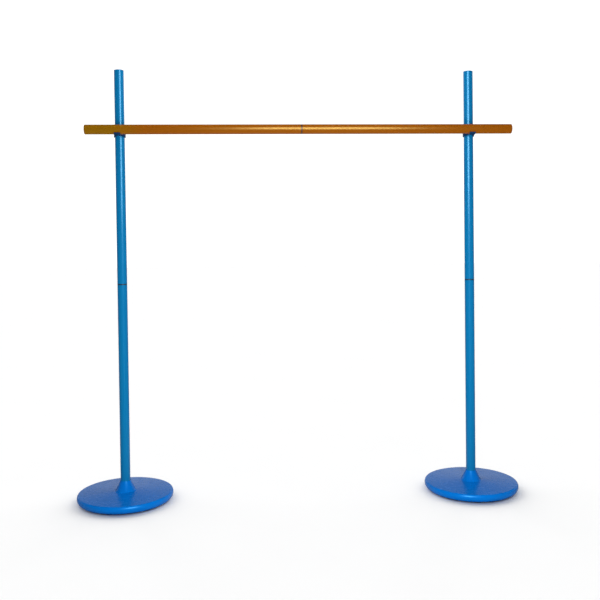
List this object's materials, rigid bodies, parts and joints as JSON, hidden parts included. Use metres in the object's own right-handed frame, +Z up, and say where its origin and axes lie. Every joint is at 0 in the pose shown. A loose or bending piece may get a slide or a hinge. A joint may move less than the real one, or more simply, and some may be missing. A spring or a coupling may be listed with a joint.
{
  "type": "limbo bar set",
  "caption": "Free-standing jump and limbo set: weighted round bases hold two-part poles, and sliding clips carry a light crossbar in open cradles.",
  "frame": {"origin": "on the floor, midway between the two stands", "axes": "+Z up; +X along the crossbar, from the left stand to the right one; -Y is the front, where the crossbar hangs"},
  "size_m": [1.25, 0.264, 1.2],
  "materials": {
    "base_plastic": "glossy moulded",
    "pole_plastic": "satin tube",
    "bar_plastic": "satin tube",
    "clip_plastic": "satin moulded",
    "ferrule_plastic": "matt moulded",
    "foot_rubber": "matt",
    "ballast_cement": "rough cast",
    "plate_plastic": "fine texture",
    "steel": "zinc plated"
  },
  "bodies": {
    "left_stand": {"left_base_cover": "base_plastic", "left_base_ballast": "ballast_cement", "left_base_floor_plate": "plate_plastic", "left_base_foot_ring": "foot_rubber", "left_base_screw_1": "steel", "left_base_screw_2": "steel", "left_base_screw_3": "steel"},
    "left_lower_pole": {"left_lower_tube": "pole_plastic", "left_tube_ferrule": "ferrule_plastic"},
    "left_upper_pole": {"left_upper_tube": "pole_plastic", "left_top_cap": "pole_plastic"},
    "left_clip": {"left_pole_clip": "clip_plastic", "left_swivel_pin": "steel"},
    "left_cradle": {"left_bar_cradle": "clip_plastic"},
    "right_stand": {"right_base_cover": "base_plastic", "right_base_ballast": "ballast_cement", "right_base_floor_plate": "plate_plastic", "right_base_foot_ring": "foot_rubber", "right_base_screw_1": "steel", "right_base_screw_2": "steel", "right_base_screw_3": "steel"},
    "right_lower_pole": {"right_lower_tube": "pole_plastic", "right_tube_ferrule": "ferrule_plastic"},
    "right_upper_pole": {"right_upper_tube": "pole_plastic", "right_top_cap": "pole_plastic"},
    "right_clip": {"right_pole_clip": "clip_plastic", "right_swivel_pin": "steel"},
    "right_cradle": {"right_bar_cradle": "clip_plastic"},
    "bar_left_half": {"crossbar_left_tube": "bar_plastic", "crossbar_left_cap": "bar_plastic", "crossbar_ferrule": "ferrule_plastic"},
    "bar_right_half": {"crossbar_right_tube": "bar_plastic", "crossbar_right_cap": "bar_plastic"}
  },
  "joints": [
    {"name": "stand_spacing", "type": "slide", "parent": "left_stand", "child": "right_stand", "axis": [1, 0, 0], "range_m": [-0.45, 0.08]},
    {"name": "left_pole_lift", "type": "slide", "parent": "left_stand", "child": "left_lower_pole", "axis": [0, 0, 1], "range_m": [0, 0.07]},
    {"name": "left_upper_lift", "type": "slide", "parent": "left_lower_pole", "child": "left_upper_pole", "axis": [0, 0, 1], "range_m": [0, 0.06]},
    {"name": "left_clip_height", "type": "slide", "parent": "left_upper_pole", "child": "left_clip", "axis": [0, 0, 1], "range_m": [-0.911, 0.145]},
    {"name": "left_cradle_swivel", "type": "hinge", "parent": "left_clip", "child": "left_cradle", "pos_m": [-0.493, -0.0164, 1.031], "axis": [0, -1, 0], "range_deg": [0, 45]},
    {"name": "bar_lift", "type": "slide", "parent": "left_cradle", "child": "bar_left_half", "axis": [0, 0, 1], "range_m": [0, 0.12]},
    {"name": "bar_half_pull", "type": "slide", "parent": "bar_left_half", "child": "bar_right_half", "axis": [1, 0, 0], "range_m": [0, 0.06]},
    {"name": "right_pole_lift", "type": "slide", "parent": "right_stand", "child": "right_lower_pole", "axis": [0, 0, 1], "range_m": [0, 0.07]},
    {"name": "right_upper_lift", "type": "slide", "parent": "right_lower_pole", "child": "right_upper_pole", "axis": [0, 0, 1], "range_m": [0, 0.06]},
    {"name": "right_clip_height", "type": "slide", "parent": "right_upper_pole", "child": "right_clip", "axis": [0, 0, 1], "range_m": [-0.911, 0.145]},
    {"name": "right_cradle_swivel", "type": "hinge", "parent": "right_clip", "child": "right_cradle", "pos_m": [0.493, -0.0164, 1.031], "axis": [0, -1, 0], "range_deg": [0, 45]}
  ],
  "couplings": [
    {"joint": "right_pole_lift", "follows": "left_pole_lift", "ratio": 1},
    {"joint": "right_upper_lift", "follows": "left_upper_lift", "ratio": 1},
    {"joint": "right_clip_height", "follows": "left_clip_height", "ratio": 1},
    {"joint": "right_cradle_swivel", "follows": "left_cradle_swivel", "ratio": 1}
  ]
}
